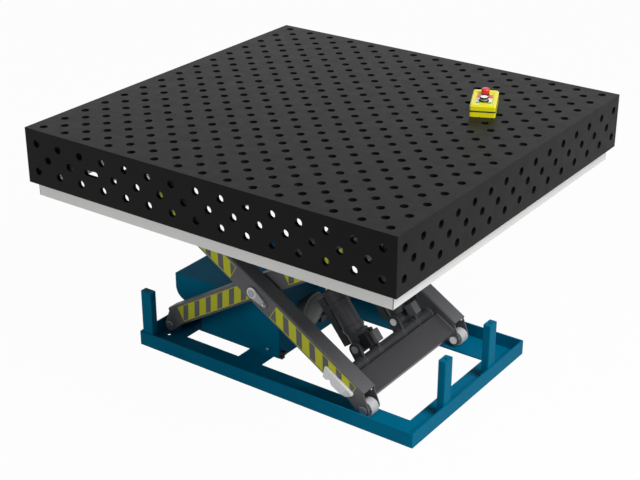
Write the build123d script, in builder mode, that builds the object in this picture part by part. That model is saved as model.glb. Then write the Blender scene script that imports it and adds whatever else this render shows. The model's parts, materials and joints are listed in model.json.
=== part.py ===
"""Height adjustable welding table: a perforated steel table on a hydraulic scissor lift.

Millimetres, +Z up. The origin is on the floor under the middle of the table, +X runs along the
base frame towards the lower rollers, and the arms turn in the XZ plane.
"""
from build123d import *
from math import asin, cos, degrees, hypot, radians, sin
import os

os.makedirs("parts", exist_ok=True)

# Welding table
table_length = 1500
table_width = 1480
plate_thickness = 15
wall_thickness = 15
wall_depth = 185
hole_diameter = 28
hole_pitch = 100
hole_row_drop = 50
rib_height = 180
rib_thickness = 10
long_rib_y = 375
cross_rib_x = (-575, -325, -75, 175, 325, 575)
slot_length = 62
slot_width = 22

# Scissor lift
lift_angle = 34.01
pivot_span = 1144
hinge_x = -570
pivot_offset = 27
arm_height = 80
arm_wall = 5
arm_corner = 8
outer_arm_width = 70
inner_arm_width = 60
outer_arm_inside = 272
arm_gap = 6
lug_radius = 24
roller_diameter = 60
roller_width = 42
axle_radius = 12
end_pin_radius = 14
centre_pin_radius = 18
bush_wall = 4
running_fit = 0.05
rolling_gap = 0.3
side_gap = 0.5
lug_width = 20
keeper_length = 62
keeper_thickness = 8
keeper_end_radius = 9
boss_wall = 10
bush_flange = 7

# Base frame and platform
base_length = 1221
base_width = 782
base_height = 56
sheet = 6
side_flange = 136
roller_end_flange = 94
hinge_end_flange = 111
cross_plate_x = (-242, -137)
anchor_hole = 17
anchor_inset = 44.5
anchor_y = 277
post_height = 223
post_long = 50
post_short = 30
post_corner = 4
post_socket = 8
post_x = -575
post_y = 155
platform_length = 1224
platform_height = 56
channel_inside = 200
channel_outside = 350
tie_x = 340

# Hydraulic cylinders
cylinder_y = 127
barrel_radius = 38
bore_radius = 31
barrel_end = 213
cap_length = 15
chamber_start = 28
piston_start = 175
piston_length = 25
rod_radius = 20
foot_along_arm = 385
foot_radius = 25
foot_width = 80
lug_thickness = 12
cross_tube_radius = 22
cross_tube_along_arm = 433
cross_tube_below = 24
lever_pin_along = 125
lever_pin_above = 85
lever_pin_radius = 14
eye_width = 40
eye_slack = 13
eye_play = 1.6
eye_wall = 9
tie_tube_radius = 20
tie_tube_wall = 5
tie_tube_along = 480
torsion_tube_radius = 30
torsion_tube_wall = 6
torsion_tube_along = 40
torsion_tube_above = -3
lever_thickness = 12
lever_spread = 28
guard_gap = 8
guard_depth = 30
guard_width = 24
guard_length = 195
guard_middle = 118
strap_along = (72, 172)
strap_width = 16
strap_thickness = 4
port_size = 34
port_side = 23
port_along = 40

# Cross box between the outer arms
cross_box_start = 455.5
cross_box_end = 555
cross_box_top = 9
cross_box_depth = 40
cross_box_wall = 4
cross_box_corner = 5
cross_tube_wall = 5

# Power pack
pack_half_width = 187
pack_left = -600
pack_right = -101
pack_height = 217
pack_lip = 22
pack_sheet = 2
motor_radius = 68
motor_y = -8
motor_z = 150
motor_start = -262
motor_end = -70
motor_foot_x = -190
motor_foot = (70, 90)
pump_left = -290
pump_size = (90, 80)
valve_size = 34
tray_left = -520
tray_thickness = 3
tank_x = -380
tank_size = (180, 280, 190)
filler_place = (-410, 70)
filler_radius = 16
cover_wrap_left = -478
cover_step = 114
cover_bend = 55
cover_bevel = 22
terminal_y = 57
terminal_z = 84
terminal_size = (30, 34, 28)

# Service props
prop_pivot_along = 490
prop_pivot_above = -13
prop_free_end = 371
prop_back_end = 510
prop_notch = 413
prop_top = 3
prop_bottom = -36
prop_thickness = 11.5
prop_bolt_radius = 6

# Safety frame
skirt_inset_x = 23
skirt_inset_y = 21
skirt_drop = 51
skirt_height = 60
skirt_wall = 4
skirt_flange = 30
skirt_travel = 8
hanger_radius = 4
hanger_play = 0.2
hanger_spread = 500
outrigger_width = 30
outrigger_thickness = 6

# Control box
control_x = 428
control_y = 321
control_yaw = 25
control_width = 90
control_length = 170
control_height = 40
seam_height = 3
button_spread = 40
stop_stem = 8
stop_radius = 14
start_radius = 13
start_rim = 4

# Worked out from the above
roller_radius = roller_diameter / 2
hole_radius = hole_diameter / 2
half_span = pivot_span / 2
pivot_along = (half_span**2 - pivot_offset**2) ** 0.5
tube_angle = lift_angle - degrees(asin(pivot_offset / half_span))
tube_end = pivot_along - roller_radius - 4
pivot_z = sheet + roller_radius + rolling_gap
rise = half_span * sin(radians(lift_angle))
reach = half_span * cos(radians(lift_angle))
centre_x = hinge_x + reach
centre_z = pivot_z + rise
roller_x = hinge_x + 2 * reach
top_pivot_z = pivot_z + 2 * rise
track_z = top_pivot_z + roller_radius + rolling_gap
platform_top = track_z + platform_height
plate_bottom = platform_top + rib_height
table_top_z = plate_bottom + plate_thickness
wall_bottom = plate_bottom - wall_depth
outer_arm_y = outer_arm_inside + outer_arm_width / 2
outer_arm_outside = outer_arm_inside + outer_arm_width
inner_arm_outside = outer_arm_inside - arm_gap
inner_arm_inside = inner_arm_outside - inner_arm_width
inner_arm_y = inner_arm_outside - inner_arm_width / 2
half_length = table_length / 2
half_width = table_width / 2
skirt_length = table_length - 2 * skirt_inset_x
skirt_width = table_width - 2 * skirt_inset_y
skirt_bottom = wall_bottom - skirt_drop
skirt_top = skirt_bottom + skirt_height
hanger_top = skirt_top + skirt_travel + 1.5
skirt_notch = skirt_inset_x + skirt_flange + 7


def outer_plane(y, along=0, above=0):
    """Side plane of the outer arms at depth y: x runs down the arm, y stands up from it."""
    run = radians(tube_angle)
    x = centre_x + along * cos(run) + above * sin(run)
    z = centre_z - along * sin(run) + above * cos(run)
    return Plane(origin=(x, y, z), x_dir=(cos(run), 0, -sin(run)), z_dir=(0, -1, 0))


def inner_plane(y, along=0, above=0):
    """Side plane of the inner arms at depth y: x runs up the arm, y stands up from it."""
    run = radians(tube_angle)
    x = centre_x + along * cos(run) - above * sin(run)
    z = centre_z + along * sin(run) + above * cos(run)
    return Plane(origin=(x, y, z), x_dir=(cos(run), 0, sin(run)), z_dir=(0, -1, 0))


def side_plane(x, y, z):
    """Upright plane facing the front, with x to the right and y up."""
    return Plane(origin=(x, y, z), x_dir=(1, 0, 0), z_dir=(0, -1, 0))


def round_bar(plane, radius, length, bore=0):
    """Bar or ring about the plane's normal, centred on the plane."""
    with BuildPart() as bar:
        with BuildSketch(plane):
            Circle(radius)
            if bore:
                Circle(bore, mode=Mode.SUBTRACT)
        extrude(amount=length / 2, both=True)
    return bar.part


def cylinder_plane(y, along=0, across=0):
    """Side plane of a cylinder at depth y: x runs from foot to rod eye, y to its lower left side."""
    foot = outer_plane(0, foot_along_arm).origin
    eye = inner_plane(0, lever_pin_along, lever_pin_above).origin
    run = hypot(eye.X - foot.X, eye.Z - foot.Z)
    dx = (eye.X - foot.X) / run
    dz = (eye.Z - foot.Z) / run
    origin = (foot.X + along * dx - across * dz, y, foot.Z + along * dz + across * dx)
    return Plane(origin=origin, x_dir=(dx, 0, dz), z_dir=(0, -1, 0))


def section_plane(side):
    """Plane across the x direction of a side plane, through the same point."""
    return Plane(origin=side.origin, x_dir=(0, 1, 0), z_dir=side.x_dir)


def level_bar(x0, x1, y0, y1, z0, z1):
    """Straight flat bar between two places on each axis."""
    return Solid.make_box(x1 - x0, y1 - y0, z1 - z0, Plane(origin=(x0, y0, z0)))


def row(count, spacing):
    """Places of a centred row."""
    return [(i - (count - 1) / 2) * spacing for i in range(count)]


# Table top with its two interleaved hole grids
holes_x = int(table_length // hole_pitch)
holes_y = int(table_width // hole_pitch) + 1
with BuildPart() as table_top:
    with BuildSketch(Plane.XY.offset(plate_bottom)):
        Rectangle(table_length, table_width)
        with GridLocations(hole_pitch, hole_pitch, holes_x, holes_y):
            Circle(hole_radius, mode=Mode.SUBTRACT)
        with GridLocations(hole_pitch, hole_pitch, holes_x - 1, holes_y - 1):
            Circle(hole_radius, mode=Mode.SUBTRACT)
    extrude(amount=plate_thickness)
table_top.part.label = "table_top"
export_step(table_top.part, "parts/table_top.step")

# Side walls: two full rows of holes and a shifted row between them
mark_hole = -half_length + 3 * hole_pitch
for side, name in ((-1, "front"), (1, "back")):
    face = side_plane(0, side * (half_width - wall_thickness / 2), plate_bottom - wall_depth / 2)
    middle = wall_depth / 2 + plate_thickness
    with BuildPart() as wall:
        with BuildSketch(face):
            Rectangle(table_length, wall_depth)
            for drop in (hole_row_drop, 3 * hole_row_drop):
                for x in row(holes_x, hole_pitch):
                    with Locations((x, middle - drop)):
                        Circle(hole_radius, mode=Mode.SUBTRACT)
            for x in row(holes_x - 1, hole_pitch):
                with Locations((x, middle - 2 * hole_row_drop)):
                    if side < 0 and x == mark_hole:
                        SlotOverall(slot_length, slot_width, mode=Mode.SUBTRACT)
                    else:
                        Circle(hole_radius, mode=Mode.SUBTRACT)
        extrude(amount=wall_thickness / 2, both=True)
    wall.part.label = f"table_wall_{name}"
    export_step(wall.part, f"parts/table_wall_{name}.step")

for side, name in ((-1, "left"), (1, "right")):
    inset = half_length - wall_thickness / 2
    face = Plane(origin=(side * inset, 0, plate_bottom - wall_depth / 2), x_dir=(0, 1, 0), z_dir=(1, 0, 0))
    middle = wall_depth / 2 + plate_thickness
    with BuildPart() as wall:
        with BuildSketch(face):
            Rectangle(table_width - 2 * wall_thickness, wall_depth)
            for drop in (hole_row_drop, 3 * hole_row_drop):
                for y in row(holes_y, hole_pitch):
                    with Locations((y, middle - drop)):
                        Circle(hole_radius, mode=Mode.SUBTRACT)
            for y in row(holes_y - 1, hole_pitch):
                with Locations((y, middle - 2 * hole_row_drop)):
                    Circle(hole_radius, mode=Mode.SUBTRACT)
        extrude(amount=wall_thickness / 2, both=True)
    wall.part.label = f"table_wall_{name}"
    export_step(wall.part, f"parts/table_wall_{name}.step")

# Stiffening ribs under the top, seated on the platform
with BuildPart() as long_ribs:
    for side in (-1, 1):
        with Locations((0, side * long_rib_y, platform_top + rib_height / 2)):
            Box(table_length - 2 * wall_thickness, rib_thickness, rib_height)
        for end in (-1, 1):
            with Locations((end * half_length, side * long_rib_y, hanger_top - rib_height / 2)):
                Box(2 * skirt_notch, 2 * rib_thickness, rib_height, mode=Mode.SUBTRACT)
long_ribs.part.label = "table_long_ribs"
export_step(long_ribs.part, "parts/table_long_ribs.step")

rib_end = long_rib_y - rib_thickness / 2
with BuildPart() as cross_ribs:
    for x in cross_rib_x:
        with Locations((x, 0, platform_top + rib_height / 2)):
            Box(rib_thickness, 2 * rib_end, rib_height)
cross_ribs.part.label = "table_cross_ribs"
export_step(cross_ribs.part, "parts/table_cross_ribs.step")

# Base frame, welded from flat bar: flanges round two openings, with upright bars along the outside
half_base_x = base_length / 2
half_base_y = base_width / 2
inner_x = half_base_x - sheet
inner_y = half_base_y - sheet
opening_y = half_base_y - side_flange
opening_x = (
    (-half_base_x + hinge_end_flange, cross_plate_x[0]),
    (cross_plate_x[1], half_base_x - roller_end_flange),
)
anchor_x = -half_base_x + anchor_inset
base_bars = []
for side in (-1, 1):
    with BuildPart() as long_flange:
        with BuildSketch():
            with Locations((0, side * (inner_y + opening_y) / 2)):
                Rectangle(2 * inner_x, inner_y - opening_y)
            with Locations((anchor_x, side * anchor_y)):
                Circle(anchor_hole / 2, mode=Mode.SUBTRACT)
        extrude(amount=sheet)
    base_bars += long_flange.solids()
for x0, x1 in ((-inner_x, opening_x[0][0]), (opening_x[0][1], opening_x[1][0]), (opening_x[1][1], inner_x)):
    base_bars.append(level_bar(x0, x1, -opening_y, opening_y, 0, sheet))
for side in (-1, 1):
    start, end = sorted((side * inner_y, side * half_base_y))
    wall = level_bar(-half_base_x, half_base_x, start, end, 0, base_height)
    corners = wall.edges().filter_by(Axis.Z).sort_by(lambda edge: -side * edge.center().Y)[:2]
    base_bars.append(wall.fillet(sheet / 2, corners))
    start, end = sorted((side * inner_x, side * half_base_x))
    base_bars.append(level_bar(start, end, -inner_y, inner_y, 0, base_height))
base_frame = Compound(base_bars)
base_frame.label = "base_frame"
export_step(base_frame, "parts/base_frame.step")

# Support posts that carry the lowered table
post_places = (
    (post_x, inner_y - post_short / 2, post_long, post_short),
    (post_x, -inner_y + post_short / 2, post_long, post_short),
    (inner_x - post_short / 2, post_y, post_short, post_long),
    (inner_x - post_short / 2, -post_y, post_short, post_long),
)
with BuildPart() as posts:
    for x, y, along_x, along_y in post_places:
        with BuildSketch(Plane.XY.offset(sheet)):
            with Locations((x, y)):
                RectangleRounded(along_x, along_y, post_corner)
                Rectangle(post_socket, post_socket, mode=Mode.SUBTRACT)
        extrude(amount=post_height)
posts.part.label = "support_posts"
export_step(posts.part, "parts/support_posts.step")

# Platform frame, welded from flat bar: two channels open upwards and three ties between them
tie_starts = (-platform_length / 2, tie_x - sheet / 2, platform_length / 2 - sheet)
platform_bars = []
for side in (-1, 1):
    web = sorted((side * channel_inside, side * channel_outside))
    platform_bars.append(
        level_bar(-platform_length / 2, platform_length / 2, web[0], web[1], track_z, track_z + sheet)
    )
    for start in (web[0], web[1] - sheet):
        platform_bars.append(
            level_bar(
                -platform_length / 2, platform_length / 2, start, start + sheet, track_z + sheet, platform_top
            )
        )
for start in tie_starts:
    platform_bars.append(
        level_bar(start, start + sheet, -channel_inside, channel_inside, track_z, platform_top)
    )
platform_frame = Compound(platform_bars)
platform_frame.label = "platform_frame"
export_step(platform_frame, "parts/platform_frame.step")


# Outer and inner arms: square tube, end cheeks round the pivots, and a boss at the middle
def make_arm(plane_at, y, width, low_end, boss_bore, low_bore, high_bore):
    """One scissor arm. low_end is the end, -1 or 1, whose pivot lies under the tube's middle."""
    inside = width - 2 * arm_wall
    middle = plane_at(y)
    with BuildPart() as arm:
        with BuildSketch(section_plane(middle)):
            RectangleRounded(width, arm_height, arm_corner)
            RectangleRounded(inside, arm_height - 2 * arm_wall, arm_corner - arm_wall, mode=Mode.SUBTRACT)
        extrude(amount=tube_end, both=True)
        for end in (-1, 1):
            low = end == low_end
            pivot = (end * pivot_along, -pivot_offset if low else pivot_offset)
            for cheek in (-1, 1):
                with BuildSketch(plane_at(y + cheek * (width - arm_wall) / 2)):
                    with Locations(pivot):
                        Circle(lug_radius)
                    with Locations((end * (tube_end - 30), 0)):
                        Rectangle(50, arm_height - 2 * arm_corner)
                    make_hull()
                    with Locations(pivot):
                        Circle(low_bore if low else high_bore, mode=Mode.SUBTRACT)
                extrude(amount=arm_wall / 2, both=True)
        with BuildSketch(middle):
            Circle(boss_bore + boss_wall)
        extrude(amount=width / 2, both=True)
        with BuildSketch(middle):
            Circle(boss_bore)
        extrude(amount=width / 2, both=True, mode=Mode.SUBTRACT)
    return arm


bush_bore = centre_pin_radius + bush_wall
for side, name in ((-1, "front"), (1, "back")):
    outer = make_arm(
        outer_plane, side * outer_arm_y, outer_arm_width, 1, centre_pin_radius, axle_radius, end_pin_radius
    )
    outer.part.label = f"outer_arm_{name}"
    export_step(outer.part, f"parts/outer_arm_{name}.step")
    inner = make_arm(
        inner_plane, side * inner_arm_y, inner_arm_width, -1, bush_bore, end_pin_radius, axle_radius
    )
    inner.part.label = f"inner_arm_{name}"
    export_step(inner.part, f"parts/inner_arm_{name}.step")

# Middle pivots: pins fixed in the outer arms, turning in flanged bushes in the inner arms
pin_start = inner_arm_inside + side_gap
with BuildPart() as centre_pins:
    for side in (-1, 1):
        with BuildSketch(side_plane(centre_x, side * (outer_arm_outside + pin_start) / 2, centre_z)):
            Circle(centre_pin_radius)
        extrude(amount=(outer_arm_outside - pin_start) / 2, both=True)
centre_pins.part.label = "centre_pins"
export_step(centre_pins.part, "parts/centre_pins.step")

with BuildPart() as bushes:
    for side in (-1, 1):
        with BuildSketch(side_plane(centre_x, side * inner_arm_y, centre_z)):
            Circle(bush_bore)
        extrude(amount=inner_arm_width / 2, both=True)
        flange = arm_gap - side_gap
        with BuildSketch(side_plane(centre_x, side * (inner_arm_outside + flange / 2), centre_z)):
            Circle(bush_bore + bush_flange)
        extrude(amount=flange / 2, both=True)
        with BuildSketch(side_plane(centre_x, side * inner_arm_y, centre_z)):
            Circle(centre_pin_radius + running_fit)
        extrude(amount=inner_arm_width, both=True, mode=Mode.SUBTRACT)
bushes.part.label = "centre_bushes"
export_step(bushes.part, "parts/centre_bushes.step")

keeper_face = outer_arm_outside + keeper_thickness
with BuildPart() as keepers:
    for side in (-1, 1):
        with BuildSketch(outer_plane(side * (outer_arm_outside + keeper_thickness / 2))):
            Circle(centre_pin_radius + 4)
            with Locations((keeper_length, 0)):
                Circle(keeper_end_radius)
            make_hull()
        extrude(amount=keeper_thickness / 2, both=True)
        with BuildSketch(outer_plane(side * (keeper_face + 1))):
            Circle(centre_pin_radius - 5)
        extrude(amount=1, both=True)
        with BuildSketch(outer_plane(side * (keeper_face + 2))):
            with Locations((keeper_length - 2, 0)):
                RegularPolygon(6, 6)
        extrude(amount=2, both=True)
keepers.part.label = "pin_keepers"
export_step(keepers.part, "parts/pin_keepers.step")

# End hinges: lugs on the base and under the platform, pins fixed in the arm cheeks
with BuildPart() as base_lugs:
    for side in (-1, 1):
        with BuildSketch(side_plane(hinge_x, side * inner_arm_y, pivot_z)):
            Circle(lug_radius - 1)
            with Locations((0, -(pivot_z - sheet) / 2)):
                Rectangle(2 * lug_radius - 2, pivot_z - sheet)
            Circle(end_pin_radius + running_fit, mode=Mode.SUBTRACT)
        extrude(amount=lug_width / 2, both=True)
base_lugs.part.label = "base_lugs"
export_step(base_lugs.part, "parts/base_lugs.step")

with BuildPart() as platform_lugs:
    for side in (-1, 1):
        with BuildSketch(side_plane(hinge_x, side * outer_arm_y, top_pivot_z)):
            Circle(lug_radius - 1)
            with Locations((0, (track_z - top_pivot_z) / 2)):
                Rectangle(2 * lug_radius - 2, track_z - top_pivot_z)
            Circle(end_pin_radius + running_fit, mode=Mode.SUBTRACT)
        extrude(amount=lug_width / 2, both=True)
platform_lugs.part.label = "platform_lugs"
export_step(platform_lugs.part, "parts/platform_lugs.step")

with BuildPart() as lower_pins:
    for side in (-1, 1):
        with BuildSketch(side_plane(hinge_x, side * (inner_arm_y + 1), pivot_z)):
            Circle(end_pin_radius)
        extrude(amount=inner_arm_width / 2 + 1, both=True)
lower_pins.part.label = "lower_hinge_pins"
export_step(lower_pins.part, "parts/lower_hinge_pins.step")

with BuildPart() as upper_pins:
    for side in (-1, 1):
        with BuildSketch(side_plane(hinge_x, side * (outer_arm_y + 2), top_pivot_z)):
            Circle(end_pin_radius)
        extrude(amount=outer_arm_width / 2 + 2, both=True)
upper_pins.part.label = "upper_hinge_pins"
export_step(upper_pins.part, "parts/upper_hinge_pins.step")

# Rollers between the cheeks at the other end of each arm, each turning on its own axle
for level, z, arm_y in (("lower", pivot_z, outer_arm_y), ("upper", top_pivot_z, inner_arm_y)):
    for side, name in ((-1, "front"), (1, "back")):
        with BuildPart() as roller:
            with BuildSketch(side_plane(roller_x, side * arm_y, z)):
                Circle(roller_radius)
            extrude(amount=roller_width / 2, both=True)
            chamfer(roller.edges().filter_by(GeomType.CIRCLE), 1.5)
            for face in (-1, 1):
                with BuildSketch(side_plane(roller_x, side * arm_y + face * roller_width / 2, z)):
                    Circle(roller_radius - 6)
                    Circle(axle_radius + 6, mode=Mode.SUBTRACT)
                extrude(amount=2, both=True, mode=Mode.SUBTRACT)
            with BuildSketch(side_plane(roller_x, side * arm_y, z)):
                Circle(axle_radius + running_fit)
            extrude(amount=roller_width, both=True, mode=Mode.SUBTRACT)
        roller.part.label = f"{level}_roller_{name}"
        export_step(roller.part, f"parts/{level}_roller_{name}.step")

for level, z, arm_y, arm_width in (
    ("lower", pivot_z, outer_arm_y, outer_arm_width),
    ("upper", top_pivot_z, inner_arm_y, inner_arm_width),
):
    half_arm = arm_width / 2
    collar_out = half_arm - arm_wall
    collar_in = roller_width / 2 + side_gap
    with BuildPart() as axles:
        for side in (-1, 1):
            with BuildSketch(side_plane(roller_x, side * (arm_y + 1), z)):
                Circle(axle_radius)
            extrude(amount=half_arm + 1, both=True)
            with BuildSketch(side_plane(roller_x, side * (arm_y - half_arm - 2), z)):
                Circle(axle_radius + 3)
            extrude(amount=2, both=True)
            for face in (-1, 1):
                collar_y = side * arm_y + face * (collar_out + collar_in) / 2
                with BuildSketch(side_plane(roller_x, collar_y, z)):
                    Circle(axle_radius + 5)
                extrude(amount=(collar_out - collar_in) / 2, both=True)
    axles.part.label = f"{level}_roller_axles"
    export_step(axles.part, f"parts/{level}_roller_axles.step")

# Cross members of the outer arms
box_middle = ((cross_box_start + cross_box_end) / 2, cross_box_top - cross_box_depth / 2)
box_length = cross_box_end - cross_box_start
with BuildPart() as cross_box:
    with BuildSketch(outer_plane(0)):
        with Locations(box_middle):
            RectangleRounded(box_length, cross_box_depth, cross_box_corner)
            inside = (box_length - 2 * cross_box_wall, cross_box_depth - 2 * cross_box_wall)
            RectangleRounded(*inside, cross_box_corner - cross_box_wall, mode=Mode.SUBTRACT)
    extrude(amount=outer_arm_inside, both=True)
cross_box.part.label = "cross_box"
export_step(cross_box.part, "parts/cross_box.step")

foot_lug_inner = cylinder_y - foot_width / 2 - 2 - lug_thickness / 2
foot_lug_outer = cylinder_y + foot_width / 2 + 2 + lug_thickness / 2
cross_tube = (cross_tube_along_arm, -cross_tube_below)
with BuildPart() as foot_bracket:
    with BuildSketch(outer_plane(0)):
        with Locations(cross_tube):
            Circle(cross_tube_radius)
    extrude(amount=outer_arm_inside, both=True)
    for side in (-1, 1):
        for lug_y in (foot_lug_inner, foot_lug_outer):
            with BuildSketch(outer_plane(side * lug_y)):
                with Locations(cross_tube):
                    Circle(cross_tube_radius)
                with Locations((foot_along_arm, 0)):
                    Circle(foot_radius)
                make_hull()
            extrude(amount=lug_thickness / 2, both=True)
    for side in (-1, 1):
        with BuildSketch(outer_plane(side * cylinder_y)):
            with Locations((foot_along_arm, 0)):
                Circle(lever_pin_radius)
        extrude(amount=foot_width, both=True, mode=Mode.SUBTRACT)
    with BuildSketch(outer_plane(0)):
        with Locations(cross_tube):
            Circle(cross_tube_radius - cross_tube_wall)
    extrude(amount=outer_arm_inside, both=True, mode=Mode.SUBTRACT)
foot_bracket.part.label = "cylinder_foot_bracket"
export_step(foot_bracket.part, "parts/cylinder_foot_bracket.step")

with BuildPart() as foot_pins:
    for side in (-1, 1):
        with BuildSketch(outer_plane(side * cylinder_y, foot_along_arm)):
            Circle(lever_pin_radius)
        extrude(amount=foot_width / 2 + 2 + lug_thickness + 3, both=True)
foot_pins.part.label = "cylinder_foot_pins"
export_step(foot_pins.part, "parts/cylinder_foot_pins.step")

# Cross members of the inner arms
with BuildPart() as inner_ties:
    with BuildSketch(inner_plane(0, -pivot_along, -pivot_offset)):
        Circle(end_pin_radius + 5)
    extrude(amount=inner_arm_inside, both=True)
    with BuildSketch(inner_plane(0, tie_tube_along)):
        Circle(tie_tube_radius)
        Circle(tie_tube_radius - tie_tube_wall, mode=Mode.SUBTRACT)
    extrude(amount=inner_arm_inside, both=True)
inner_ties.part.label = "inner_arm_ties"
export_step(inner_ties.part, "parts/inner_arm_ties.step")

with BuildPart() as torsion_tube:
    with BuildSketch(inner_plane(0, torsion_tube_along, torsion_tube_above)):
        Circle(torsion_tube_radius)
        Circle(torsion_tube_radius - torsion_tube_wall, mode=Mode.SUBTRACT)
    extrude(amount=inner_arm_inside, both=True)
torsion_tube.part.label = "torsion_tube"
export_step(torsion_tube.part, "parts/torsion_tube.step")

with BuildPart() as levers:
    for lever_y in [side * cylinder_y + face * lever_spread for side in (-1, 1) for face in (-1, 1)]:
        with BuildSketch(inner_plane(lever_y)):
            with Locations((torsion_tube_along, torsion_tube_above)):
                Circle(torsion_tube_radius + 12)
            with Locations((lever_pin_along, lever_pin_above)):
                Circle(lever_pin_radius + 10)
            make_hull()
            with Locations((torsion_tube_along, torsion_tube_above)):
                Circle(torsion_tube_radius, mode=Mode.SUBTRACT)
            with Locations((lever_pin_along, lever_pin_above)):
                Circle(lever_pin_radius, mode=Mode.SUBTRACT)
        extrude(amount=lever_thickness / 2, both=True)
levers.part.label = "lift_levers"
export_step(levers.part, "parts/lift_levers.step")

with BuildPart() as lever_pins:
    for side in (-1, 1):
        with BuildSketch(inner_plane(side * cylinder_y, lever_pin_along, lever_pin_above)):
            Circle(lever_pin_radius)
        extrude(amount=lever_spread + lever_thickness / 2 + 3, both=True)
lever_pins.part.label = "lever_pins"
export_step(lever_pins.part, "parts/lever_pins.step")

# Hydraulic cylinders: barrel with foot eye, gland and port block, guard bar, rod and slotted rod eye
foot_point = outer_plane(0, foot_along_arm).origin
eye_point = inner_plane(0, lever_pin_along, lever_pin_above).origin
eye_along = hypot(eye_point.X - foot_point.X, eye_point.Z - foot_point.Z)
eye_half_along = lever_pin_radius + eye_play + eye_wall
eye_half_across = lever_pin_radius + eye_slack + eye_wall
for side, name in ((-1, "front"), (1, "back")):
    y = side * cylinder_y
    with BuildPart() as barrel:
        with BuildSketch(section_plane(cylinder_plane(y, foot_radius - 7))):
            Circle(barrel_radius)
        extrude(amount=barrel_end + cap_length - foot_radius + 7)
        with BuildSketch(cylinder_plane(y)):
            Circle(foot_radius)
        extrude(amount=foot_width / 2, both=True)
        with BuildSketch(section_plane(cylinder_plane(y, barrel_end - 4))):
            Circle(barrel_radius + 1)
            Circle(barrel_radius - 1, mode=Mode.SUBTRACT)
        extrude(amount=2, mode=Mode.SUBTRACT)
        with BuildSketch(cylinder_plane(y + side * port_side)):
            with Locations((port_along, -barrel_radius - port_size / 2 + 5)):
                RectangleRounded(port_size, port_size, 3)
        extrude(amount=port_size / 2, both=True)
        fitting = cylinder_plane(y + side * port_side, port_along, -barrel_radius - port_size + 4)
        with BuildSketch(Plane(origin=fitting.origin, x_dir=(0, 1, 0), z_dir=-fitting.y_dir)):
            RegularPolygon(10, 6)
        extrude(amount=15)
        with BuildSketch(section_plane(cylinder_plane(y, chamber_start))):
            Circle(bore_radius)
        extrude(amount=barrel_end - chamber_start, mode=Mode.SUBTRACT)
        with BuildSketch(section_plane(cylinder_plane(y, barrel_end - 5))):
            Circle(rod_radius + running_fit)
        extrude(amount=cap_length + 10, mode=Mode.SUBTRACT)
        with BuildSketch(cylinder_plane(y)):
            Circle(lever_pin_radius + running_fit)
        extrude(amount=foot_width, both=True, mode=Mode.SUBTRACT)
    barrel.part.label = f"cylinder_barrel_{name}"
    export_step(barrel.part, f"parts/cylinder_barrel_{name}.step")

    guard_inside = barrel_radius + guard_gap
    with BuildPart() as guard:
        with BuildSketch(cylinder_plane(y, guard_middle, guard_inside + guard_depth / 2)):
            Rectangle(guard_length, guard_depth)
        extrude(amount=guard_width / 2, both=True)
        for strap in strap_along:
            with BuildSketch(section_plane(cylinder_plane(y, strap))):
                Circle(barrel_radius + strap_thickness)
            extrude(amount=strap_width / 2, both=True)
            with BuildSketch(cylinder_plane(y, strap, barrel_radius + guard_gap / 2)):
                Rectangle(strap_width, guard_gap + strap_thickness)
            extrude(amount=guard_width / 2, both=True)
            with BuildSketch(section_plane(cylinder_plane(y, strap))):
                Circle(barrel_radius)
            extrude(amount=strap_width / 2 + 1, both=True, mode=Mode.SUBTRACT)
    guard.part.label = f"cylinder_guard_{name}"
    export_step(guard.part, f"parts/cylinder_guard_{name}.step")

    with BuildPart() as rod:
        with BuildSketch(section_plane(cylinder_plane(y, piston_start))):
            Circle(rod_radius)
        extrude(amount=eye_along - eye_half_along - piston_start)
        with BuildSketch(section_plane(cylinder_plane(y, piston_start))):
            Circle(bore_radius - running_fit)
        extrude(amount=piston_length)
    rod.part.label = f"cylinder_rod_{name}"
    export_step(rod.part, f"parts/cylinder_rod_{name}.step")

    with BuildPart() as eye:
        with BuildSketch(cylinder_plane(y, eye_along)):
            RectangleRounded(2 * eye_half_along, 2 * eye_half_across, 18)
            slot_half = lever_pin_radius + eye_play
            SlotOverall(2 * (lever_pin_radius + eye_slack), 2 * slot_half, rotation=90, mode=Mode.SUBTRACT)
        extrude(amount=eye_width / 2, both=True)
    eye.part.label = f"rod_eye_{name}"
    export_step(eye.part, f"parts/rod_eye_{name}.step")

# Service props on the outer faces of the outer arms, each swinging on a shoulder bolt
prop_inside = outer_arm_outside + side_gap
prop_outside = prop_inside + prop_thickness
prop_pivot = (prop_pivot_along, prop_pivot_above)
prop_outline = (
    (prop_free_end, prop_top),
    (prop_back_end - 5, prop_top),
    (prop_back_end, prop_top - 6),
    (prop_back_end - 14, prop_bottom + 11),
    (prop_back_end - 38, prop_bottom),
    (prop_notch + 14, prop_bottom),
    (prop_notch, prop_bottom + 12),
    (prop_notch - 12, prop_bottom),
    (prop_free_end + 15, prop_bottom),
)
with BuildPart() as prop_bolts:
    for side in (-1, 1):
        shank_y = side * (outer_arm_outside + prop_outside + side_gap) / 2
        with BuildSketch(outer_plane(shank_y)):
            with Locations(prop_pivot):
                Circle(prop_bolt_radius)
        extrude(amount=(prop_outside + side_gap - outer_arm_outside) / 2, both=True)
        with BuildSketch(outer_plane(side * (prop_outside + side_gap + 2))):
            with Locations(prop_pivot):
                Circle(prop_bolt_radius + 4)
        extrude(amount=2, both=True)
prop_bolts.part.label = "prop_bolts"
export_step(prop_bolts.part, "parts/prop_bolts.step")

for side, name in ((-1, "front"), (1, "back")):
    with BuildPart() as prop:
        with BuildSketch(outer_plane(side * (prop_inside + prop_outside) / 2)):
            Polygon(*prop_outline, align=None)
            with Locations(prop_pivot):
                Circle(prop_bolt_radius + running_fit, mode=Mode.SUBTRACT)
        extrude(amount=prop_thickness / 2, both=True)
    prop.part.label = f"service_prop_{name}"
    export_step(prop.part, f"parts/service_prop_{name}.step")

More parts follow.
